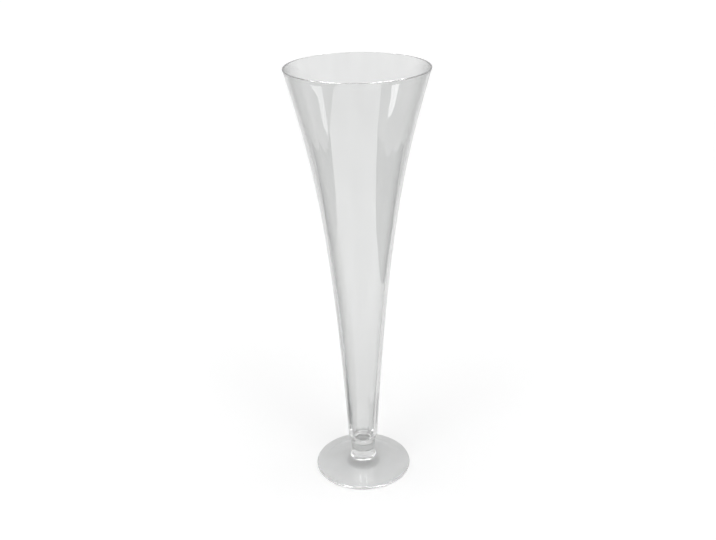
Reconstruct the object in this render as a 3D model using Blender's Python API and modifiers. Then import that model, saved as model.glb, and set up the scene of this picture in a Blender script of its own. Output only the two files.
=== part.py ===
"""Champagne flute vase in clear glass: a blown trumpet bowl, a short solid stem and a round foot."""

from math import cos, hypot, pi, radians, sin, tan

import bpy

# Overall sizes, in metres
HEIGHT = 0.600
RIM_DIAMETER = 0.189

# Bowl: the blown trumpet
BOWL_BASE_DIAMETER = 0.0431
BASE_TAPER = radians(3.0)
RIM_FLARE = radians(12.3)
BASE_PULL = 0.75  # how far the straight lower taper reaches up the trumpet, as a share of its height
RIM_PULL = 0.14  # how far the flare at the rim reaches down it
RIM_WALL = 0.0030
BASE_WALL = 0.0055
LIP_ROUNDING = 0.0008  # radius of the lip's two polished edges
SHOULDER_HEIGHT = 0.0135  # the double curve from the stem out to the bowl's base
FLOOR_THICKNESS = 0.008  # solid glass under the hollow
HOLLOW_ROUNDING = 0.009  # size of the soft corner round the hollow's floor

# Stem: the short solid slug
STEM_DIAMETER = 0.0364  # at the bowl
NECK_DIAMETER = 0.0340  # at the foot
STEM_LENGTH = 0.0153

# Foot: the standing disc
FOOT_DIAMETER = 0.140
FOOT_EDGE = 0.0034  # thickness at the rounded edge
FOOT_SLOPE = radians(14.0)
FOOT_FILLET = 0.008  # height of the curve that draws the foot up to the stem
FOOT_SWEEP = 0.016  # width of that curve
FOOT_NECK = 0.0005  # straight length above it
STANDING_RING = 0.010  # width of the flat ring underneath
KICK_HEIGHT = 0.009  # rise of the underside at its middle

# Fits
WELD_GAP = 0.0003

# Smoothness of the turned shapes
TURN_STEPS = 64
WALL_POINTS = 17
CURVE_POINTS = 9
LIP_POINTS = 4

# Clear glass, a little greener and darker where it is thick
BOWL_COLOUR = (0.90, 0.91, 0.91, 1.0)
STEM_COLOUR = (0.84, 0.87, 0.86, 1.0)
FOOT_COLOUR = (0.87, 0.89, 0.88, 1.0)
GLASS_ROUGHNESS = 0.02
GLASS_INDEX = 1.52


def clear_scene():
    for old in list(bpy.data.objects):
        bpy.data.objects.remove(old, do_unlink=True)


def shares(count):
    """Evenly spaced shares from 0 to 1."""
    return [i / (count - 1) for i in range(count)]


def arc(centre, radius, start, end, count):
    """Points on a circle, with angles counted from straight up towards the outside."""
    angles = [start + (end - start) * share for share in shares(count)]
    return [(centre[0] + radius * sin(a), centre[1] + radius * cos(a)) for a in angles]


def mixed(guides, weights):
    """The weighted sum of four guide points."""
    return tuple(sum(w * guide[i] for w, guide in zip(weights, guides)) for i in (0, 1))


def place_weights(share):
    """The pull of each guide point at a share of the way along a soft line."""
    rest = 1 - share
    return rest**3, 3 * share * rest**2, 3 * share**2 * rest, share**3


def curve(guides):
    """A soft line from the first guide point to the last, drawn towards the two between them."""
    return [mixed(guides, place_weights(share)) for share in shares(CURVE_POINTS)]


def glass(name, colour):
    material = bpy.data.materials.new(name)
    material.use_nodes = True
    material.diffuse_color = colour
    shader = material.node_tree.nodes["Principled BSDF"]
    shader.inputs["Base Color"].default_value = colour
    shader.inputs["Roughness"].default_value = GLASS_ROUGHNESS
    shader.inputs["Metallic"].default_value = 0.0
    shader.inputs["Transmission Weight"].default_value = 1.0
    shader.inputs["IOR"].default_value = GLASS_INDEX
    return material


def turned(name, profile, seat_height, colour, collection, parent):
    """One round piece: its half section, turned about the vertical axis and set down on its seat."""
    mesh = bpy.data.meshes.new(name)
    edges = [(i, i + 1) for i in range(len(profile) - 1)]
    mesh.from_pydata([(radius, 0.0, height) for radius, height in profile], edges, [])
    mesh.materials.append(glass(name + "_glass", colour))
    piece = bpy.data.objects.new(name, mesh)
    collection.objects.link(piece)
    piece.parent = parent
    piece.location.z = seat_height
    screw = piece.modifiers.new("turn", "SCREW")
    screw.axis = "Z"
    screw.angle = 2 * pi
    screw.screw_offset = 0.0
    screw.steps = TURN_STEPS
    screw.render_steps = TURN_STEPS
    screw.use_merge_vertices = True
    screw.merge_threshold = 0.00001
    screw.use_smooth_shade = True
    return piece


def foot_profile():
    """The foot's half section, from the weld down its outer side to the middle of the underside."""
    edge_radius = FOOT_EDGE / 2
    edge_centre = (FOOT_DIAMETER / 2 - edge_radius, edge_radius)
    edge = arc(edge_centre, edge_radius, FOOT_SLOPE, pi, CURVE_POINTS)
    neck_radius = NECK_DIAMETER / 2
    corner = (neck_radius, edge[0][1] + (edge[0][0] - neck_radius) * tan(FOOT_SLOPE))
    fillet_top = (neck_radius, corner[1] + FOOT_FILLET)
    sweep_end = (neck_radius + FOOT_SWEEP, corner[1] - FOOT_SWEEP * tan(FOOT_SLOPE))
    fillet = curve((fillet_top, corner, corner, sweep_end))
    top = fillet_top[1] + FOOT_NECK
    kick_radius = edge_centre[0] - STANDING_RING
    underside = [(kick_radius * (1 - s), KICK_HEIGHT * (1 - (1 - s) ** 2)) for s in shares(CURVE_POINTS)]
    return [(0.0, top), (neck_radius, top)] + fillet + edge + underside


def stem_profile():
    """The stem's half section, from its upper weld down to its lower one."""
    stem_radius = STEM_DIAMETER / 2
    neck_radius = NECK_DIAMETER / 2
    third = STEM_LENGTH / 3
    guides = (
        (stem_radius, STEM_LENGTH),
        (stem_radius, STEM_LENGTH - third),
        (neck_radius, third),
        (neck_radius, 0.0),
    )
    return [(0.0, STEM_LENGTH)] + curve(guides) + [(0.0, 0.0)]


def flare(base, rim, share):
    """A point on the trumpet's outer curve and its outward direction, at a share of the way up."""
    height = rim[1] - base[1]
    low = (base[0] + BASE_PULL * height * tan(BASE_TAPER), base[1] + BASE_PULL * height)
    high = (rim[0] - RIM_PULL * height * tan(RIM_FLARE), rim[1] - RIM_PULL * height)
    guides = (base, low, high, rim)
    rest = 1 - share
    ways = (-3 * rest**2, 3 * rest**2 - 6 * share * rest, 6 * share * rest - 3 * share**2, 3 * share**2)
    along = mixed(guides, ways)
    length = hypot(*along)
    return mixed(guides, place_weights(share)), (along[1] / length, -along[0] / length)


def inner_wall(base, rim, share):
    """The point on the hollow's side across the wall from the outer curve."""
    point, outward = flare(base, rim, share)
    wall = BASE_WALL + (RIM_WALL - BASE_WALL) * share
    return point[0] - wall * outward[0], point[1] - wall * outward[1]


def share_at_height(base, rim, height):
    """How far up the trumpet the hollow's side reaches a height, by halving."""
    low, high = 0.0, 1.0
    for _ in range(40):
        middle = (low + high) / 2
        if inner_wall(base, rim, middle)[1] < height:
            low = middle
        else:
            high = middle
    return high


def hollow_floor(wall_foot):
    """The hollow's flat floor and its soft corner, from the middle out to the foot of the wall."""
    corner = (wall_foot[0] - HOLLOW_ROUNDING * tan(BASE_TAPER), FLOOR_THICKNESS)
    flat_end = (corner[0] - HOLLOW_ROUNDING, FLOOR_THICKNESS)
    return [(0.0, FLOOR_THICKNESS)] + curve((flat_end, corner, corner, wall_foot))


def lip(height, wall_top):
    """The lip's flat top between two polished edges, from the hollow's side to the outer curve."""
    inner_centre = (wall_top[0] + LIP_ROUNDING * cos(RIM_FLARE), height - LIP_ROUNDING)
    outer_centre = (RIM_DIAMETER / 2 - LIP_ROUNDING, height - LIP_ROUNDING)
    inner_edge = arc(inner_centre, LIP_ROUNDING, RIM_FLARE - pi / 2, 0.0, LIP_POINTS)
    outer_edge = arc(outer_centre, LIP_ROUNDING, 0.0, pi / 2, LIP_POINTS)
    below = arc(outer_centre, LIP_ROUNDING, pi / 2, pi / 2 + RIM_FLARE, 2)
    return inner_edge + outer_edge + below[1:]


def shoulder(base):
    """The double curve from the trumpet's base down to the weld."""
    stem_radius = STEM_DIAMETER / 2
    reach = 0.4 * SHOULDER_HEIGHT
    below = (base[0] - reach * tan(BASE_TAPER), base[1] - reach)
    return curve((base, below, (stem_radius, reach), (stem_radius, 0.0)))


def bowl_profile(height):
    """The bowl's half section, from the hollow's floor up, over the lip and down the outside to the weld."""
    base = (BOWL_BASE_DIAMETER / 2, SHOULDER_HEIGHT)
    rim = (
        RIM_DIAMETER / 2 - LIP_ROUNDING * (1 - cos(RIM_FLARE)),
        height - LIP_ROUNDING * (1 + sin(RIM_FLARE)),
    )
    low = share_at_height(base, rim, FLOOR_THICKNESS + HOLLOW_ROUNDING)
    high = share_at_height(base, rim, height - LIP_ROUNDING * (1 - sin(RIM_FLARE)))
    inside = [inner_wall(base, rim, low + (high - low) * s) for s in shares(WALL_POINTS)]
    outside = [flare(base, rim, 1 - s)[0] for s in shares(WALL_POINTS)]
    hollow = hollow_floor(inside[0])
    return hollow[:-1] + inside[:-1] + lip(height, inside[-1]) + outside[1:-1] + shoulder(base) + [(0.0, 0.0)]


def main():
    clear_scene()
    collection = bpy.data.collections.new("champagne_vase")
    bpy.context.scene.collection.children.link(collection)
    vase = bpy.data.objects.new("vase", None)
    collection.objects.link(vase)

    foot = foot_profile()
    turned("foot", foot, 0.0, FOOT_COLOUR, collection, vase)
    stem_seat = foot[0][1] + WELD_GAP
    turned("stem", stem_profile(), stem_seat, STEM_COLOUR, collection, vase)
    bowl_seat = stem_seat + STEM_LENGTH + WELD_GAP
    turned("bowl", bowl_profile(HEIGHT - bowl_seat), bowl_seat, BOWL_COLOUR, collection, vase)


if __name__ == "__main__":
    main()
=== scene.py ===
"""Champagne flute vase in clear blown glass, and the plain studio that it stands in.

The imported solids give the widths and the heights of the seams. Each piece is drawn as half an outline and
spun round the upright axis, and the thick glass of the bowl keeps a few bubbles of air.
"""

from math import cos, pi, radians, sin, tan

import bpy
from bpy.props import FloatProperty, FloatVectorProperty, IntProperty, PointerProperty
from bpy.types import NodeSocket, Operator, Panel, PropertyGroup
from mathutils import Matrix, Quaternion, Vector


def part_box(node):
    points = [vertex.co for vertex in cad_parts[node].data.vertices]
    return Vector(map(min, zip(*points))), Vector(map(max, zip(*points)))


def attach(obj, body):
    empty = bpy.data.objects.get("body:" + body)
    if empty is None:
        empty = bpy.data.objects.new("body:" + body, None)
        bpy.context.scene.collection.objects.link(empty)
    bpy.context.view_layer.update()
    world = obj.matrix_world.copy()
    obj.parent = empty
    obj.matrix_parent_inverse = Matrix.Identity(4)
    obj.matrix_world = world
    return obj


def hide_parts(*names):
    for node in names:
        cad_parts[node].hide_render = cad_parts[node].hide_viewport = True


bl_info = {
    "name": "Champagne Flute Vase",
    "version": (1, 0, 0),
    "blender": (4, 5, 0),
    "location": "3D View > Sidebar > Vase",
    "description": "Builds a blown glass flute vase on a round foot, and a plain studio round it",
    "category": "Add Mesh",
}

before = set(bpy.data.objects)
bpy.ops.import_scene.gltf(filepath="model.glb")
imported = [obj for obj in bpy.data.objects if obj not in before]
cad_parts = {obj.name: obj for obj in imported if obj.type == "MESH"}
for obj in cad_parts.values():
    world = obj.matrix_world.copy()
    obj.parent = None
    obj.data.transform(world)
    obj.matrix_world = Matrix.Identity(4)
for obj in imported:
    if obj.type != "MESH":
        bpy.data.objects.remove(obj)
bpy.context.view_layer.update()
FOOT_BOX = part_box("foot")
STEM_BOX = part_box("stem")
BOWL_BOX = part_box("bowl")

# How finely each stretch of an outline is drawn, in points
ROUND_POINTS = 17  # edge and underside of the foot, side of the stem
FILLET_POINTS = 25
SLOPE_POINTS = 14
WALL_POINTS = 61
BEND_POINTS = 19  # shoulder of the bowl and rounded end of its hollow
FLOOR_POINTS = 7
LIP_POINTS = 9
UNDER_LIP_POINTS = 3

# How the outlines are worked out and turned
SHOULDER_PULL = 0.4  # share of the shoulder's height that the lean at each of its ends holds
LEAN_STEP = 0.01  # share of the flare over which the lean at the end of the hollow is taken
HALVINGS = 40
START_SIZE = 0.01
MERGE_DISTANCE = 1e-5
SMOOTH_ANGLE = radians(40)
SEAM_REACH = 1e-5
LEVEL = 0.99  # how far up or down a face must look to count as level

# Air seeds in the thick glass of the bowl: turn from the front to the right in degrees, then distance from
# the axis, height and radius in metres
SEED_ROUNDNESS = 3
SEEDS = [
    (-12, 0.0165, 0.0490, 0.0007),
    (-28, 0.0170, 0.0502, 0.0010),
    (-40, 0.0174, 0.0495, 0.0012),
    (-52, 0.0178, 0.0530, 0.0014),
    (-64, 0.0176, 0.0510, 0.0011),
    (20, 0.0170, 0.0498, 0.0009),
    (33, 0.0176, 0.0525, 0.0013),
    (46, 0.0174, 0.0505, 0.0012),
    (60, 0.0180, 0.0545, 0.0015),
    (41, 0.0191, 0.0650, 0.0020),
    (-68, 0.0194, 0.0700, 0.0015),
    (-64, 0.0191, 0.0625, 0.0017),
    (-105, 0.0176, 0.0520, 0.0013),
    (-140, 0.0172, 0.0500, 0.0010),
    (100, 0.0178, 0.0535, 0.0012),
    (150, 0.0176, 0.0515, 0.0014),
    (178, 0.0170, 0.0500, 0.0009),
]

# The glass
GLASS_INDEX = 1.52
CORD_STRETCH = (60, 60, 5)  # cords to the metre across the piece, and up it
CORD_DETAIL = 3.0
CORD_RANGE = (0.3, 0.7)
SMUDGE_SCALE = 22.0
SMUDGE_DETAIL = 4.0
SMUDGE_RANGE = (0.5, 0.75)
WAVE_DEPTH = 0.0004
EDGE_BLEND = 0.5
SKIM_RANGE = (0.35, 0.85)  # how far a face is turned away where the deeper tone starts and ends
SKIM_TONE = (0.55, 0.55, 0.55, 1)
BASE_FADE = (-0.005, 0.004)  # from below the hollow's floor to above it

# The studio
WHITE = (1, 1, 1, 1)
BLACK = (0, 0, 0, 1)
FLOOR_RADIUS = 12
FLOOR_SIDES = 96
FLOOR_DROP = 0.0002  # clear of the foot
LIFT_REACH = 4.0  # distance over which the floor's lift rises to its far value
CONTACT_REACH = 0.08
# Painted shadow round the foot: shares of that reach, each with the share of the lift that is left there
PAINTED_CONTACT_SHADOW = [(0.24, 0.42), (0.33, 0.90), (0.50, 0.96), (0.80, 1.0), (0.90, 1.0)]
OVERHEAD_FROM = 0.6  # rise of the view at which the room reaches its overhead tone
NO_BOUNCE = 0.5  # between none and one
DEEP_BOUNCES = 3.5  # between three and four
SENSOR_WIDTH = 36
CLIP_START = 0.01
LIGHT_BOUNCES = 200
WHITE_POWER = 4  # power to the square metre of a light that shows as white
GLINT_BRIGHTNESS = 105.0
CARD_FADE = (-0.38, 0.02)
CARD_HEIGHT = 0.003
LAMP_HEIGHT = 0.005

# Corners of the cards on the floor, right and back from the middle of the foot
BOUNCE_CARD = [
    (-0.60, -0.38), (-0.54, -0.50), (-0.46, -0.70), (-0.46, -1.1), (0.62, -1.1), (0.62, -0.75),
    (0.53, -0.645), (0.455, -0.56), (0.42, -0.52), (0.30, -0.38), (0.11, -0.15), (0.08, -0.085),
    (-0.08, -0.085), (-0.11, -0.15), (-0.30, -0.38),
]
RIGHT_CARD = [
    (0.42, -0.52), (0.45, -0.42), (0.50, -0.24), (0.50, 0.18), (0.40, 0.11), (0.30, 0.05), (0.17, -0.02),
    (0.11, -0.15), (0.30, -0.38),
]
LEFT_CARD = [(-0.60, -0.38), (-0.30, -0.38), (-0.11, -0.15), (-0.14, 0.05), (-0.30, 0.35), (-0.60, 0.45)]
LEFT_FLAG = [(-0.60, -0.38), (-0.66, -0.28), (-0.80, -0.02), (-0.87, 0.40), (-0.60, 0.40)]
RIGHT_FLAG = [
    (0.50, 0.18), (0.50, -0.24), (0.45, -0.42), (0.42, -0.52), (0.57, -0.39), (0.75, -0.12), (0.85, 0.20),
    (0.85, 0.40), (0.60, 0.40),
]
LEFT_LAMP = [
    (-0.96, -0.12), (-0.87, -0.27), (-0.735, -0.43), (-0.63, -0.35), (-0.65, -0.31), (-0.71, -0.25),
    (-0.80, -0.27),
]
RIGHT_LAMP = [
    (0.86, -0.30), (0.77, -0.41), (0.70, -0.455), (0.67, -0.415), (0.616, -0.392), (0.673, -0.329),
    (0.75, -0.28), (0.84, -0.286),
]
# Painted shadow: dark sheets on the floor, seen only through the glass, for the floor's shade behind the foot
LEFT_SHADE = [
    (-0.06, 0.115), (-0.065, 0.06), (-0.10, 0.03), (-0.24, 0.10), (-0.25, 0.19), (-0.20, 0.215),
    (-0.15, 0.165), (-0.12, 0.15),
]
RIGHT_SHADE = [
    (0.065, 0.105), (0.068, 0.08), (0.08, 0.065), (0.12, 0.09), (0.135, 0.13), (0.12, 0.155), (0.085, 0.165),
    (0.07, 0.14),
]


def width_of(box):
    """How wide a solid is, from its lowest and highest corner."""
    return box[1][0] - box[0][0]


class VaseSizes(PropertyGroup):
    """Sizes of the glass, in metres."""

    height: FloatProperty(
        name="Height", description="From the table to the lip", default=BOWL_BOX[1][2], unit="LENGTH"
    )
    rim_diameter: FloatProperty(
        name="Rim", description="Across the outside of the lip", default=width_of(BOWL_BOX), unit="LENGTH"
    )
    foot_diameter: FloatProperty(
        name="Foot", description="Across the round foot", default=width_of(FOOT_BOX), unit="LENGTH"
    )
    foot_seam: FloatProperty(
        name="Foot seam",
        description="Height where the stem is fused to the foot",
        default=(FOOT_BOX[1][2] + STEM_BOX[0][2]) / 2,
        unit="LENGTH",
    )
    bowl_seam: FloatProperty(
        name="Bowl seam",
        description="Height where the bowl is fused to the stem",
        default=(STEM_BOX[1][2] + BOWL_BOX[0][2]) / 2,
        unit="LENGTH",
    )
    stem_diameter: FloatProperty(
        name="Stem", description="Across the stem where it meets the bowl", default=0.0364, unit="LENGTH"
    )
    neck_diameter: FloatProperty(
        name="Neck", description="Across the stem where it meets the foot", default=0.034, unit="LENGTH"
    )
    base_diameter: FloatProperty(
        name="Bowl base", description="Across the bowl where its flare starts", default=0.0431, unit="LENGTH"
    )
    shoulder: FloatProperty(
        name="Shoulder",
        description="Height of the curve from the stem to the flare",
        default=0.0135,
        unit="LENGTH",
    )
    base_taper: FloatProperty(
        name="Base lean", description="Lean of the wall at the base", default=radians(3.08), subtype="ANGLE"
    )
    rim_flare: FloatProperty(
        name="Rim lean", description="Lean of the wall at the lip", default=radians(14.5), subtype="ANGLE"
    )
    base_pull: FloatProperty(
        name="Base pull",
        description="Share of the height that the base lean holds",
        default=0.668,
        subtype="FACTOR",
    )
    rim_pull: FloatProperty(
        name="Rim pull",
        description="Share of the height that the rim lean holds",
        default=0.191,
        subtype="FACTOR",
    )
    rim_wall: FloatProperty(
        name="Rim wall", description="Thickness of the wall at the lip", default=0.0030, unit="LENGTH"
    )
    base_wall: FloatProperty(
        name="Base wall", description="Thickness of the wall at the base", default=0.0055, unit="LENGTH"
    )
    lip_rounding: FloatProperty(
        name="Lip rounding",
        description="Radius of the two polished edges of the lip",
        default=0.0008,
        unit="LENGTH",
    )
    floor_thickness: FloatProperty(
        name="Floor", description="Solid glass under the hollow", default=0.008, unit="LENGTH"
    )
    hollow_rounding: FloatProperty(
        name="Hollow rounding",
        description="Height of the rounded end of the hollow",
        default=0.009,
        unit="LENGTH",
    )
    foot_edge: FloatProperty(
        name="Foot edge", description="Thickness of the round edge of the foot", default=0.0034, unit="LENGTH"
    )
    foot_slope: FloatProperty(
        name="Foot slope",
        description="Slope of the foot's upper face",
        default=radians(14.0),
        subtype="ANGLE",
    )
    foot_fillet: FloatProperty(
        name="Foot fillet",
        description="Height of the hollow curve up to the stem",
        default=0.008,
        unit="LENGTH",
    )
    foot_sweep: FloatProperty(
        name="Foot sweep",
        description="Width of the hollow curve out to the slope",
        default=0.016,
        unit="LENGTH",
    )
    standing_ring: FloatProperty(
        name="Standing ring",
        description="Width of the ring that the foot stands on",
        default=0.010,
        unit="LENGTH",
    )
    kick_height: FloatProperty(
        name="Kick", description="How far the underside rises at its middle", default=0.009, unit="LENGTH"
    )
    turn_steps: IntProperty(name="Steps", description="Faces round each turned piece", default=160, min=24)


class VaseFinish(PropertyGroup):
    """Colour and finish of the glass."""

    bowl_tint: FloatVectorProperty(
        name="Bowl",
        description="What one wall lets through",
        default=(0.802, 0.806, 0.804),
        size=3,
        subtype="COLOR",
    )
    stem_tint: FloatVectorProperty(
        name="Stem",
        description="What the stem lets through",
        default=(0.80, 0.81, 0.806),
        size=3,
        subtype="COLOR",
    )
    foot_tint: FloatVectorProperty(
        name="Foot",
        description="What the foot lets through",
        default=(0.932, 0.938, 0.936),
        size=3,
        subtype="COLOR",
    )
    # Partly thicker glass and partly painted shade for the shadowed floor seen through the bowl's solid base
    base_depth_and_shade: FloatProperty(
        name="Base depth",
        description="Share of that light left in the bowl's solid base",
        default=0.70,
        subtype="FACTOR",
    )
    cords: FloatProperty(
        name="Cords", description="Depth of the faint threads in the glass", default=0.03, subtype="FACTOR"
    )
    blown_wave: FloatProperty(
        name="Blown wave",
        description="Strength of the soft waves in the bowl and the stem",
        default=0.15,
        subtype="FACTOR",
    )
    foot_wave: FloatProperty(
        name="Foot wave",
        description="Strength of the soft waves in the foot",
        default=0.03,
        subtype="FACTOR",
    )
    smudge: FloatProperty(
        name="Smudge", description="Roughness where the glass was handled", default=0.05, subtype="FACTOR"
    )


class VaseStudio(PropertyGroup):
    """Floor, light and camera."""

    floor_tone: FloatVectorProperty(
        name="Floor", description="Colour of the floor", default=(0.62, 0.62, 0.62), size=3, subtype="COLOR"
    )
    floor_lift: FloatVectorProperty(
        name="Floor lift",
        description="Light added where the floor is the background, near the vase and far from it",
        default=(0.38, 0.74),
        size=2,
    )
    horizon: FloatVectorProperty(
        name="Horizon", description="Light from the sides", default=(0.5, 0.5, 0.5), size=3, subtype="COLOR"
    )
    backdrop: FloatVectorProperty(
        name="Backdrop",
        description="What the glass shows at the horizon",
        default=(0.95, 0.95, 0.95),
        size=3,
        subtype="COLOR",
    )
    zenith: FloatVectorProperty(
        name="Overhead", description="Light from above", default=(0.46, 0.46, 0.46), size=3, subtype="COLOR"
    )
    eye: FloatVectorProperty(
        name="Eye",
        description="Where the camera stands",
        default=(0.0, -1.1514, 0.8388),
        size=3,
        subtype="XYZ",
    )
    aim: FloatVectorProperty(
        name="Aim",
        description="What the camera looks at",
        default=(-0.00324, 0.0, 0.3195),
        size=3,
        subtype="XYZ",
    )
    roll: FloatProperty(
        name="Roll", description="Turn of the camera about its view", default=radians(-1.011), subtype="ANGLE"
    )
    lens: FloatProperty(name="Lens", description="Focal length in millimetres", default=45.94)


def shares(count):
    """Even steps from 0 to 1."""
    return [step / (count - 1) for step in range(count)]


def arc(centre, radius, start, end, count):
    """Points of an arc. Angles run from straight up towards the outside."""
    angles = [start + (end - start) * share for share in shares(count)]
    return [(centre[0] + radius * sin(angle), centre[1] + radius * cos(angle)) for angle in angles]


def mixed(guides, weights):
    """Weighted sum of guide points."""
    return tuple(sum(weight * guide[axis] for weight, guide in zip(weights, guides)) for axis in (0, 1))


def place_weights(share):
    """Pull of each of four guides on the point at a share of a soft line."""
    back = 1 - share
    return back**3, 3 * back**2 * share, 3 * back * share**2, share**3


def way_weights(share):
    """Pull of each of four guides on the direction at a share of a soft line."""
    back = 1 - share
    return -3 * back**2, 3 * back**2 - 6 * back * share, 6 * back * share - 3 * share**2, 3 * share**2


def curve(guides, count):
    """Points of a soft line from the first guide to the last, drawn towards the two between them."""
    return [mixed(guides, place_weights(share)) for share in shares(count)]


def straight(start, end, count):
    """Points of a straight line between two points, without its ends."""
    return [mixed((start, end), (1 - share, share)) for share in shares(count)[1:-1]]


def foot_outline(sizes):
    """Half outline of the foot, from the top of its neck to the middle of its underside."""
    edge_radius = sizes.foot_edge / 2
    neck_radius = sizes.neck_diameter / 2
    edge_centre = (sizes.foot_diameter / 2 - edge_radius, edge_radius)
    edge = arc(edge_centre, edge_radius, sizes.foot_slope, pi, ROUND_POINTS)
    rise = tan(sizes.foot_slope)
    corner = (neck_radius, edge[0][1] + (edge[0][0] - neck_radius) * rise)
    fillet_top = (neck_radius, corner[1] + sizes.foot_fillet)
    sweep_end = (neck_radius + sizes.foot_sweep, corner[1] - sizes.foot_sweep * rise)
    fillet = curve((fillet_top, corner, corner, sweep_end), FILLET_POINTS)
    slope = straight(fillet[-1], edge[0], SLOPE_POINTS)
    kick_radius = edge_centre[0] - sizes.standing_ring
    underside = [
        (kick_radius * (1 - share), sizes.kick_height * (1 - (1 - share) ** 2))
        for share in shares(ROUND_POINTS)
    ]
    return [(0, sizes.foot_seam), (neck_radius, sizes.foot_seam)] + fillet + slope + edge + underside


def stem_outline(sizes):
    """Half outline of the stem, from its top seam to its lower seam."""
    third = (sizes.bowl_seam - sizes.foot_seam) / 3
    wide, narrow = sizes.stem_diameter / 2, sizes.neck_diameter / 2
    guides = (
        (wide, sizes.bowl_seam),
        (wide, sizes.bowl_seam - third),
        (narrow, sizes.foot_seam + third),
        (narrow, sizes.foot_seam),
    )
    return [(0, sizes.bowl_seam)] + curve(guides, ROUND_POINTS) + [(0, sizes.foot_seam)]


def flare(sizes, base, rim, share):
    """Point of the bowl's outer wall, and the direction straight out of it."""
    height = rim[1] - base[1]
    low = (base[0] + sizes.base_pull * height * tan(sizes.base_taper), base[1] + sizes.base_pull * height)
    high = (rim[0] - sizes.rim_pull * height * tan(sizes.rim_flare), rim[1] - sizes.rim_pull * height)
    guides = (base, low, high, rim)
    along = mixed(guides, way_weights(share))
    return Vector(mixed(guides, place_weights(share))), Vector((along[1], -along[0])).normalized()


def inner_wall(sizes, base, rim, share):
    """Point of the bowl's inner wall."""
    point, outward = flare(sizes, base, rim, share)
    wall = sizes.base_wall + (sizes.rim_wall - sizes.base_wall) * share
    return tuple(point - wall * outward)


def share_at(sizes, base, rim, height):
    """Share of the flare at which the inner wall reaches a height, by halving."""
    low, high = 0.0, 1.0
    for _ in range(HALVINGS):
        middle = (low + high) / 2
        if inner_wall(sizes, base, rim, middle)[1] < height:
            low = middle
        else:
            high = middle
    return low


def shoulder_outline(sizes, base):
    """Points of the soft double curve from the flare down to the stem."""
    reach = sizes.shoulder * SHOULDER_PULL
    guides = (
        base,
        (base[0] - reach * tan(sizes.base_taper), base[1] - reach),
        (sizes.stem_diameter / 2, sizes.bowl_seam + reach),
        (sizes.stem_diameter / 2, sizes.bowl_seam),
    )
    return curve(guides, BEND_POINTS)


def hollow_outline(sizes, floor, wall_foot, wall_above):
    """Points of the hollow's flat floor and its soft corner, from the middle out to the foot of the wall."""
    lean = (wall_above[0] - wall_foot[0]) / (wall_above[1] - wall_foot[1])
    corner = (wall_foot[0] - lean * (wall_foot[1] - floor), floor)
    flat_end = (corner[0] - sizes.hollow_rounding, floor)
    flat = [(flat_end[0] * share, floor) for share in shares(FLOOR_POINTS)[:-1]]
    return flat + curve((flat_end, corner, corner, wall_foot), BEND_POINTS)


def lip_outline(sizes, wall_top):
    """Points of the lip's two polished edges, from the top of the inner wall to the outer one."""
    soft, lean = sizes.lip_rounding, sizes.rim_flare
    inner_edge = (wall_top[0] + soft * cos(lean), sizes.height - soft)
    outer_edge = (sizes.rim_diameter / 2 - soft, sizes.height - soft)
    inner = arc(inner_edge, soft, lean - pi / 2, 0, LIP_POINTS)
    outer = arc(outer_edge, soft, 0, pi / 2, LIP_POINTS)
    under = arc(outer_edge, soft, pi / 2, pi / 2 + lean, UNDER_LIP_POINTS)
    return inner + outer + under[1:]


def bowl_outline(sizes):
    """Half outline of the bowl, from the bottom of its hollow over the lip to the middle of its seam."""
    soft, lean = sizes.lip_rounding, sizes.rim_flare
    base = (sizes.base_diameter / 2, sizes.bowl_seam + sizes.shoulder)
    rim = (sizes.rim_diameter / 2 - soft * (1 - cos(lean)), sizes.height - soft * (1 + sin(lean)))
    floor = sizes.bowl_seam + sizes.floor_thickness
    low = share_at(sizes, base, rim, floor + sizes.hollow_rounding)
    high = share_at(sizes, base, rim, sizes.height - soft * (1 - sin(lean)))
    inside = [inner_wall(sizes, base, rim, low + (high - low) * share) for share in shares(WALL_POINTS)]
    outside = [tuple(flare(sizes, base, rim, 1 - share)[0]) for share in shares(WALL_POINTS)]
    hollow = hollow_outline(sizes, floor, inside[0], inner_wall(sizes, base, rim, low + LEAN_STEP))
    lip = lip_outline(sizes, inside[-1])
    shoulder = shoulder_outline(sizes, base)
    return hollow[:-1] + inside[:-1] + lip + outside[1:] + shoulder[1:] + [(0, sizes.bowl_seam)]


def drawn(name, points):
    """A new object in edit mode, with a line drawn through the points one by one and selected."""
    bpy.ops.object.select_all(action="DESELECT")
    bpy.ops.mesh.primitive_plane_add(size=START_SIZE)
    piece = bpy.context.active_object
    piece.name = name
    piece.data.name = name
    bpy.ops.object.mode_set(mode="EDIT")
    bpy.ops.mesh.merge(type="CENTER")
    bpy.ops.transform.translate(value=points[0])
    for last, here in zip(points, points[1:]):
        step = tuple(end - start for start, end in zip(last, here))
        bpy.ops.mesh.extrude_vertices_move(TRANSFORM_OT_translate={"value": step})
    bpy.ops.mesh.select_all(action="SELECT")
    return piece


def turned(name, outline, steps):
    """A closed body, spun from half its outline."""
    piece = drawn(name, [(radius, 0, height) for radius, height in outline])
    bpy.ops.mesh.spin(steps=steps, angle=2 * pi, center=(0, 0, 0), axis=(0, 0, 1))
    bpy.ops.mesh.select_all(action="SELECT")
    bpy.ops.mesh.remove_doubles(threshold=MERGE_DISTANCE)
    bpy.ops.mesh.normals_make_consistent(inside=False)
    bpy.ops.object.mode_set(mode="OBJECT")
    bpy.ops.object.shade_smooth_by_angle(angle=SMOOTH_ANGLE)
    return piece


def seed(bubbles):
    """Leaves small bubbles of air in the glass of the piece just made, facing into their hollow."""
    bpy.ops.object.mode_set(mode="EDIT")
    for turn, reach, height, radius in bubbles:
        place = (reach * sin(radians(turn)), -reach * cos(radians(turn)), height)
        bpy.ops.mesh.primitive_ico_sphere_add(subdivisions=SEED_ROUNDNESS, radius=radius, location=place)
        bpy.ops.mesh.flip_normals()
    bpy.ops.object.mode_set(mode="OBJECT")
    bpy.ops.object.shade_smooth_by_angle(angle=SMOOTH_ANGLE)


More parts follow.
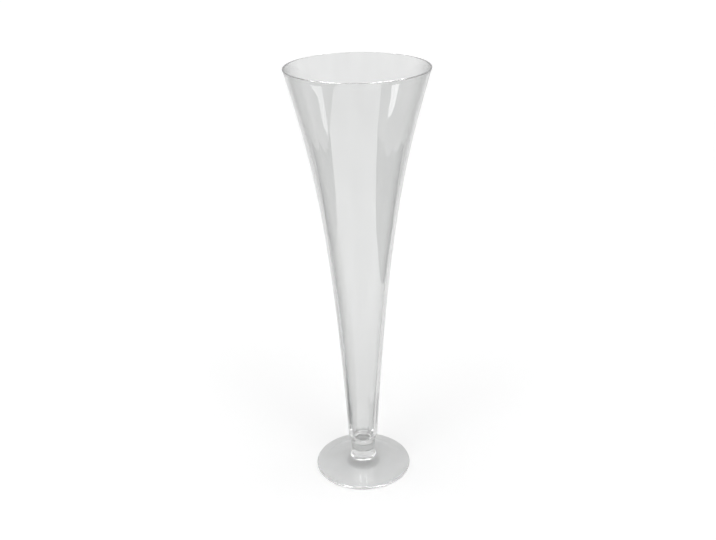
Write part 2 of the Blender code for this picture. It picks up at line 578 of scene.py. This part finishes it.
def dress(piece, node, clear, seams):
    """Puts the glass on a piece, clears the faces at its fused seams, parents it to the root body and hides
    its solid.
    """
    piece.data.materials.append(clear)
    piece.data.materials.append(fused_seam())
    for face in piece.data.polygons:
        at_seam = any(abs(face.center.z - seam) < SEAM_REACH for seam in seams)
        face.material_index = 1 if at_seam and abs(face.normal.z) > LEVEL else 0
    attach(piece, "root")
    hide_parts(node)


def put(links, value, socket):
    """Gives an input a number, a colour or the output of another node."""
    if isinstance(value, NodeSocket):
        links.new(value, socket)
    else:
        socket.default_value = value


def calculated(nodes, links, operation, first, second):
    """Result of one operation on two values."""
    node = nodes.new("ShaderNodeMath")
    node.operation = operation
    put(links, first, node.inputs[0])
    put(links, second, node.inputs[1])
    return node.outputs["Value"]


def ranged(nodes, links, value, start_end, low=0.0, high=1.0, soft=False):
    """A value carried from one range to another, at an even rate or softly at both ends."""
    node = nodes.new("ShaderNodeMapRange")
    node.interpolation_type = "SMOOTHSTEP" if soft else "LINEAR"
    node.inputs["From Min"].default_value, node.inputs["From Max"].default_value = start_end
    put(links, low, node.inputs["To Min"])
    put(links, high, node.inputs["To Max"])
    links.new(value, node.inputs["Value"])
    return node.outputs["Result"]


def blended(nodes, links, factor, first, second, blend="MIX"):
    """Two colours mixed by a factor."""
    node = nodes.new("ShaderNodeMix")
    node.data_type = "RGBA"
    node.blend_type = blend
    links.new(factor, node.inputs["Factor"])
    put(links, first, node.inputs["A"])
    put(links, second, node.inputs["B"])
    return node.outputs["Result"]


def scaled(nodes, links, colour, factor):
    """A colour made paler or deeper by a factor."""
    node = nodes.new("ShaderNodeVectorMath")
    node.operation = "SCALE"
    links.new(colour, node.inputs[0])
    links.new(factor, node.inputs["Scale"])
    return node.outputs["Vector"]


def noise(nodes, links, place, scale, detail):
    """Soft noise over a place."""
    node = nodes.new("ShaderNodeTexNoise")
    node.inputs["Scale"].default_value = scale
    node.inputs["Detail"].default_value = detail
    links.new(place, node.inputs["Vector"])
    return node.outputs["Fac"]


def axis_of(nodes, links, place, axis):
    """One of the three coordinates of a place."""
    node = nodes.new("ShaderNodeSeparateXYZ")
    links.new(place, node.inputs["Vector"])
    return node.outputs[axis]


def blown_surface():
    """Node group of what blowing leaves in glass: faint cords in the colour, smudges and a soft wave."""
    group = bpy.data.node_groups.get("blown_surface")
    if group:
        return group
    group = bpy.data.node_groups.new("blown_surface", "ShaderNodeTree")
    kinds = ("NodeSocketColor", "NodeSocketFloat", "NodeSocketFloat")
    for name, kind in zip(("Tint", "Cords", "Smudge"), kinds):
        group.interface.new_socket(name, in_out="INPUT", socket_type=kind)
    for name, kind in zip(("Colour", "Roughness", "Wave"), kinds):
        group.interface.new_socket(name, in_out="OUTPUT", socket_type=kind)
    nodes, links = group.nodes, group.links
    given = nodes.new("NodeGroupInput").outputs
    made = nodes.new("NodeGroupOutput").inputs
    place = nodes.new("ShaderNodeTexCoord").outputs["Object"]
    drawn_out = nodes.new("ShaderNodeMapping")
    drawn_out.inputs["Scale"].default_value = CORD_STRETCH
    links.new(place, drawn_out.inputs["Vector"])
    cord = noise(nodes, links, drawn_out.outputs["Vector"], 1.0, CORD_DETAIL)
    deepest = calculated(nodes, links, "SUBTRACT", 1.0, given["Cords"])
    thread = ranged(nodes, links, cord, CORD_RANGE, 1.0, deepest)
    links.new(scaled(nodes, links, given["Tint"], thread), made["Colour"])
    patch = noise(nodes, links, place, SMUDGE_SCALE, SMUDGE_DETAIL)
    links.new(ranged(nodes, links, patch, SMUDGE_RANGE, 0.0, given["Smudge"]), made["Roughness"])
    links.new(cord, made["Wave"])
    return group


def deepened_and_shaded(nodes, links, colour, height, depth):
    """A glass colour that deepens from the wall above a height to the solid glass under it, partly as painted
    shade.
    """
    place = nodes.new("ShaderNodeTexCoord").outputs["Object"]
    span = [height + step for step in BASE_FADE]
    fade = ranged(nodes, links, axis_of(nodes, links, place, "Z"), span, depth, 1.0, soft=True)
    return scaled(nodes, links, colour, fade)


def glass(name, tint, finish, wave_strength, solid_base=None):
    """Clear glass of one piece, deeper in colour edge on, and below the height where it is solid, partly as
    painted shade.
    """
    material = bpy.data.materials.new(name)
    material.use_nodes = True
    nodes, links = material.node_tree.nodes, material.node_tree.links
    shader = nodes["Principled BSDF"]
    shader.inputs["Metallic"].default_value = 0.0
    shader.inputs["Transmission Weight"].default_value = 1.0
    shader.inputs["IOR"].default_value = GLASS_INDEX
    surface = nodes.new("ShaderNodeGroup")
    surface.node_tree = blown_surface()
    surface.inputs["Tint"].default_value = (*tint, 1)
    surface.inputs["Cords"].default_value = finish.cords
    surface.inputs["Smudge"].default_value = finish.smudge
    wave = nodes.new("ShaderNodeBump")
    wave.inputs["Strength"].default_value = wave_strength
    wave.inputs["Distance"].default_value = WAVE_DEPTH
    links.new(surface.outputs["Wave"], wave.inputs["Height"])
    edge = nodes.new("ShaderNodeLayerWeight")
    edge.inputs["Blend"].default_value = EDGE_BLEND
    skim = ranged(nodes, links, edge.outputs["Facing"], SKIM_RANGE, soft=True)
    colour = surface.outputs["Colour"]
    if solid_base:
        # Partly painted shade: the solid base of the bowl is deepened in colour
        colour = deepened_and_shaded(nodes, links, colour, solid_base, finish.base_depth_and_shade)
    links.new(blended(nodes, links, skim, colour, SKIM_TONE, "MULTIPLY"), shader.inputs["Base Color"])
    links.new(surface.outputs["Roughness"], shader.inputs["Roughness"])
    links.new(wave.outputs["Normal"], shader.inputs["Normal"])
    return material


def fused_seam():
    """Glass inside a fused seam, which light crosses as if nothing were there."""
    material = bpy.data.materials.get("fused_seam")
    if material:
        return material
    material = bpy.data.materials.new("fused_seam")
    material.use_nodes = True
    shader = material.node_tree.nodes["Principled BSDF"]
    shader.inputs["Base Color"].default_value = WHITE
    shader.inputs["Roughness"].default_value = 0.0
    shader.inputs["Transmission Weight"].default_value = 1.0
    shader.inputs["IOR"].default_value = 1.0
    return material


class VASE_OT_foot(Operator):
    """Builds the round foot with its neck and hollow underside"""

    bl_idname = "vase.foot"
    bl_label = "Foot"

    def execute(self, context):
        sizes, finish = context.scene.vase_sizes, context.scene.vase_finish
        piece = turned("foot_blown", foot_outline(sizes), sizes.turn_steps)
        clear = glass("foot_glass", finish.foot_tint, finish, finish.foot_wave)
        dress(piece, "foot", clear, [sizes.foot_seam])
        return {"FINISHED"}


class VASE_OT_stem(Operator):
    """Builds the short solid stem"""

    bl_idname = "vase.stem"
    bl_label = "Stem"

    def execute(self, context):
        sizes, finish = context.scene.vase_sizes, context.scene.vase_finish
        piece = turned("stem_drawn", stem_outline(sizes), sizes.turn_steps)
        clear = glass("stem_glass", finish.stem_tint, finish, finish.blown_wave)
        dress(piece, "stem", clear, [sizes.foot_seam, sizes.bowl_seam])
        return {"FINISHED"}


class VASE_OT_bowl(Operator):
    """Builds the tall flared bowl with its thinning wall, rounded lip and air seeds"""

    bl_idname = "vase.bowl"
    bl_label = "Bowl"

    def execute(self, context):
        sizes, finish = context.scene.vase_sizes, context.scene.vase_finish
        piece = turned("bowl_blown", bowl_outline(sizes), sizes.turn_steps)
        seed(SEEDS)
        solid_base = sizes.bowl_seam + sizes.floor_thickness
        clear = glass("bowl_glass", finish.bowl_tint, finish, finish.blown_wave, solid_base)
        dress(piece, "bowl", clear, [sizes.bowl_seam])
        return {"FINISHED"}


def before_floor(nodes, links):
    """One for a path that no dull surface has scattered yet, and nought for any other."""
    path = nodes.new("ShaderNodeLightPath").outputs
    return calculated(nodes, links, "LESS_THAN", path["Diffuse Depth"], NO_BOUNCE)


def seen(nodes, links):
    """One for a ray that shows something, straight on or in the glass, and nought for one that lights."""
    path = nodes.new("ShaderNodeLightPath").outputs
    shine = calculated(nodes, links, "MAXIMUM", path["Is Camera Ray"], path["Is Glossy Ray"])
    through = calculated(nodes, links, "MAXIMUM", shine, path["Is Transmission Ray"])
    return calculated(nodes, links, "MULTIPLY", through, before_floor(nodes, links))


def deep_in_glass(nodes, links):
    """One for a path that has met glass four times or more and no dull surface, and nought for any other."""
    path = nodes.new("ShaderNodeLightPath").outputs
    again = calculated(nodes, links, "GREATER_THAN", path["Ray Depth"], DEEP_BOUNCES)
    return calculated(nodes, links, "MULTIPLY", again, before_floor(nodes, links))


def painted_contact_shadow(nodes, links, away):
    """Painted shadow: how far the floor's lift is held back near the foot, by the distance from its middle.
    """
    ramp = nodes.new("ShaderNodeValToRGB")
    ramp.color_ramp.interpolation = "EASE"
    stops = ramp.color_ramp.elements
    stops[0].position, stops[1].position = PAINTED_CONTACT_SHADOW[0][0], PAINTED_CONTACT_SHADOW[-1][0]
    for position, _ in PAINTED_CONTACT_SHADOW[1:-1]:
        stops.new(position)
    for stop, (_, shade) in zip(stops, PAINTED_CONTACT_SHADOW):
        stop.color = (shade, shade, shade, 1)
    links.new(ranged(nodes, links, away, (0, CONTACT_REACH)), ramp.inputs["Fac"])
    return ramp.outputs["Color"]


def lay_floor(studio):
    """A wide plain floor just under the foot, white where it is the background, with a painted shadow round
    it.
    """
    bpy.ops.object.select_all(action="DESELECT")
    bpy.ops.mesh.primitive_circle_add(
        vertices=FLOOR_SIDES, radius=FLOOR_RADIUS, fill_type="NGON", location=(0, 0, -FLOOR_DROP)
    )
    floor = bpy.context.active_object
    floor.name = "floor"
    bpy.ops.object.transform_apply(location=True)
    material = bpy.data.materials.new("pale_floor")
    material.use_nodes = True
    nodes, links = material.node_tree.nodes, material.node_tree.links
    shader = nodes["Principled BSDF"]
    shader.inputs["Base Color"].default_value = (*studio.floor_tone, 1)
    shader.inputs["Roughness"].default_value = 1.0
    shader.inputs["Specular IOR Level"].default_value = 0.0
    shader.inputs["Emission Color"].default_value = WHITE
    away = nodes.new("ShaderNodeVectorMath")
    away.operation = "LENGTH"
    links.new(nodes.new("ShaderNodeTexCoord").outputs["Object"], away.inputs[0])
    distance = away.outputs["Value"]
    near_lift, far_lift = studio.floor_lift
    paler = ranged(nodes, links, distance, (0, LIFT_REACH), near_lift, far_lift)
    # Painted shadow: the lift is held back near the foot, so the floor seen through the glass is darker there
    shaded = calculated(nodes, links, "MULTIPLY", painted_contact_shadow(nodes, links, distance), paler)
    lift = calculated(nodes, links, "MULTIPLY", seen(nodes, links), shaded)
    links.new(lift, shader.inputs["Emission Strength"])
    floor.data.materials.append(material)


def light_room(studio):
    """Soft light from the whole room, which the camera sees as white and the glass as a pale wall."""
    world = bpy.data.worlds.new("room")
    world.use_nodes = True
    bpy.context.scene.world = world
    nodes, links = world.node_tree.nodes, world.node_tree.links
    place = nodes.new("ShaderNodeTexCoord").outputs["Generated"]
    rise = ranged(nodes, links, axis_of(nodes, links, place, "Z"), (0, OVERHEAD_FROM), soft=True)
    wall = blended(nodes, links, seen(nodes, links), (*studio.horizon, 1), (*studio.backdrop, 1))
    room = blended(nodes, links, rise, wall, (*studio.zenith, 1))
    path = nodes.new("ShaderNodeLightPath").outputs
    links.new(blended(nodes, links, path["Is Camera Ray"], room, WHITE), nodes["Background"].inputs["Color"])


def softbox(name, place, facing, size, brightness, glint=False):
    """A rectangle of even light that the camera does not see.

    A glint shows only deep in the glass and lights nothing.
    """
    turn = Vector(facing).to_track_quat("-Z", "Y")
    bpy.ops.object.light_add(type="AREA", location=place, rotation=turn.to_euler())
    box = bpy.context.active_object
    box.name = name
    box.data.shape = "RECTANGLE"
    box.data.size, box.data.size_y = size
    box.data.energy = WHITE_POWER * brightness * size[0] * size[1]
    box.visible_camera = False
    box.visible_diffuse = not glint
    if glint:
        box.data.use_nodes = True
        nodes, links = box.data.node_tree.nodes, box.data.node_tree.links
        links.new(deep_in_glass(nodes, links), nodes["Emission"].inputs["Strength"])


def hang_lights():
    """A broad light overhead, one on each side in front, and a bright glint just before each of those."""
    left, right = (0.75, 0.75, -2.2), (-0.65, 0.90, -2.2)
    left_size, right_size = (0.40, 0.90), (0.46, 0.90)
    softbox("overhead_softbox", place=(0, -0.6, 3.0), facing=(0, 0, -1), size=(4.0, 3.2), brightness=1.26)
    softbox("left_softbox", place=(-0.75, -0.75, 2.3), facing=left, size=left_size, brightness=2.5)
    softbox("right_softbox", place=(0.65, -0.90, 2.3), facing=right, size=right_size, brightness=2.5)
    softbox("left_glint", (-0.74, -0.74, 2.27), left, left_size, GLINT_BRIGHTNESS, glint=True)
    softbox("right_glint", (0.64, -0.89, 2.27), right, right_size, GLINT_BRIGHTNESS, glint=True)


def floor_card(name, corners, brightness, fade=CARD_FADE, seen_in="shine", height=CARD_HEIGHT):
    """A card flat on the floor that only the glass shows.

    Shine is what the glass reflects or bends, and depth is only what it bends. The card's brightness runs
    from the first value to the second one over a stretch from front to back.
    """
    card = drawn(name, [(*corner, height) for corner in corners])
    bpy.ops.mesh.edge_face_add()
    bpy.ops.object.mode_set(mode="OBJECT")
    material = bpy.data.materials.new(name)
    material.use_nodes = True
    nodes, links = material.node_tree.nodes, material.node_tree.links
    shader = nodes["Principled BSDF"]
    shader.inputs["Base Color"].default_value = BLACK
    shader.inputs["Specular IOR Level"].default_value = 0.0
    shader.inputs["Emission Color"].default_value = WHITE
    place = nodes.new("ShaderNodeTexCoord").outputs["Object"]
    level = ranged(nodes, links, axis_of(nodes, links, place, "Y"), fade, *brightness, soft=True)
    links.new(level, shader.inputs["Emission Strength"])
    card.data.materials.append(material)
    card.visible_camera = False
    card.visible_diffuse = False
    card.visible_shadow = False
    card.visible_transmission = seen_in == "depth"
    card.visible_glossy = seen_in == "shine"


def lay_cards():
    """The pale, dark and bright cards that give the glass its bands, and sheets of painted shadow low in its
    wall.
    """
    floor_card("bounce_card", BOUNCE_CARD, brightness=(3.3, 2.6), fade=(-0.38, -0.13))
    floor_card("right_card", RIGHT_CARD, brightness=(3.3, 2.1), fade=(-0.38, -0.05))
    floor_card("left_card", LEFT_CARD, brightness=(3.3, 0.4))
    floor_card("left_flag", LEFT_FLAG, brightness=(0.15, 0.15))
    floor_card("right_flag", RIGHT_FLAG, brightness=(0.15, 0.15))
    floor_card("left_lamp", LEFT_LAMP, brightness=(4.2, 4.2), height=LAMP_HEIGHT)
    floor_card("right_lamp", RIGHT_LAMP, brightness=(5.5, 5.5), height=LAMP_HEIGHT)
    # Painted shadow on the floor, seen only through the low wall of the glass
    floor_card("left_shade", LEFT_SHADE, brightness=(0.34, 1.0), fade=(0.07, 0.21), seen_in="depth")
    floor_card("right_shade", RIGHT_SHADE, brightness=(0.55, 0.95), fade=(0.10, 0.22), seen_in="depth")


def place_camera(studio):
    """A camera at the picture's angle."""
    eye, aim = Vector(studio.eye), Vector(studio.aim)
    bpy.ops.object.camera_add(location=eye)
    camera = bpy.context.active_object
    camera.name = "camera"
    turn = (aim - eye).to_track_quat("-Z", "Y") @ Quaternion((0, 0, 1), studio.roll)
    camera.rotation_euler = turn.to_euler()
    camera.data.lens = studio.lens
    camera.data.sensor_width = SENSOR_WIDTH
    camera.data.clip_start = CLIP_START
    bpy.context.scene.camera = camera


class VASE_OT_studio(Operator):
    """Lays the floor, lights the room and places the camera"""

    bl_idname = "vase.studio"
    bl_label = "Studio"

    def execute(self, context):
        studio = context.scene.vase_studio
        lay_floor(studio)
        light_room(studio)
        hang_lights()
        lay_cards()
        place_camera(studio)
        context.scene.view_settings.view_transform = "Standard"
        light_paths = context.scene.cycles
        light_paths.max_bounces = LIGHT_BOUNCES
        light_paths.glossy_bounces = LIGHT_BOUNCES
        light_paths.transmission_bounces = LIGHT_BOUNCES
        return {"FINISHED"}


OPERATORS = (VASE_OT_foot, VASE_OT_stem, VASE_OT_bowl, VASE_OT_studio)


class VASE_PT_sidebar(Panel):
    """Sidebar tab with the vase's sizes, finish and steps"""

    bl_idname = "VASE_PT_sidebar"
    bl_label = "Champagne Flute Vase"
    bl_space_type = "VIEW_3D"
    bl_region_type = "UI"
    bl_category = "Vase"

    def draw(self, context):
        for step in OPERATORS:
            self.layout.operator(step.bl_idname)
        for group in (context.scene.vase_sizes, context.scene.vase_finish, context.scene.vase_studio):
            column = self.layout.column(align=True)
            for name in group.__annotations__:
                column.prop(group, name)


CLASSES = (VaseSizes, VaseFinish, VaseStudio, *OPERATORS, VASE_PT_sidebar)


def register():
    for item in CLASSES:
        bpy.utils.register_class(item)
    bpy.types.Scene.vase_sizes = PointerProperty(type=VaseSizes)
    bpy.types.Scene.vase_finish = PointerProperty(type=VaseFinish)
    bpy.types.Scene.vase_studio = PointerProperty(type=VaseStudio)


def unregister():
    del bpy.types.Scene.vase_studio
    del bpy.types.Scene.vase_finish
    del bpy.types.Scene.vase_sizes
    for item in reversed(CLASSES):
        bpy.utils.unregister_class(item)


def main():
    register()
    bpy.ops.vase.foot()
    bpy.ops.vase.stem()
    bpy.ops.vase.bowl()
    bpy.ops.vase.studio()


if __name__ == "__main__":
    main()
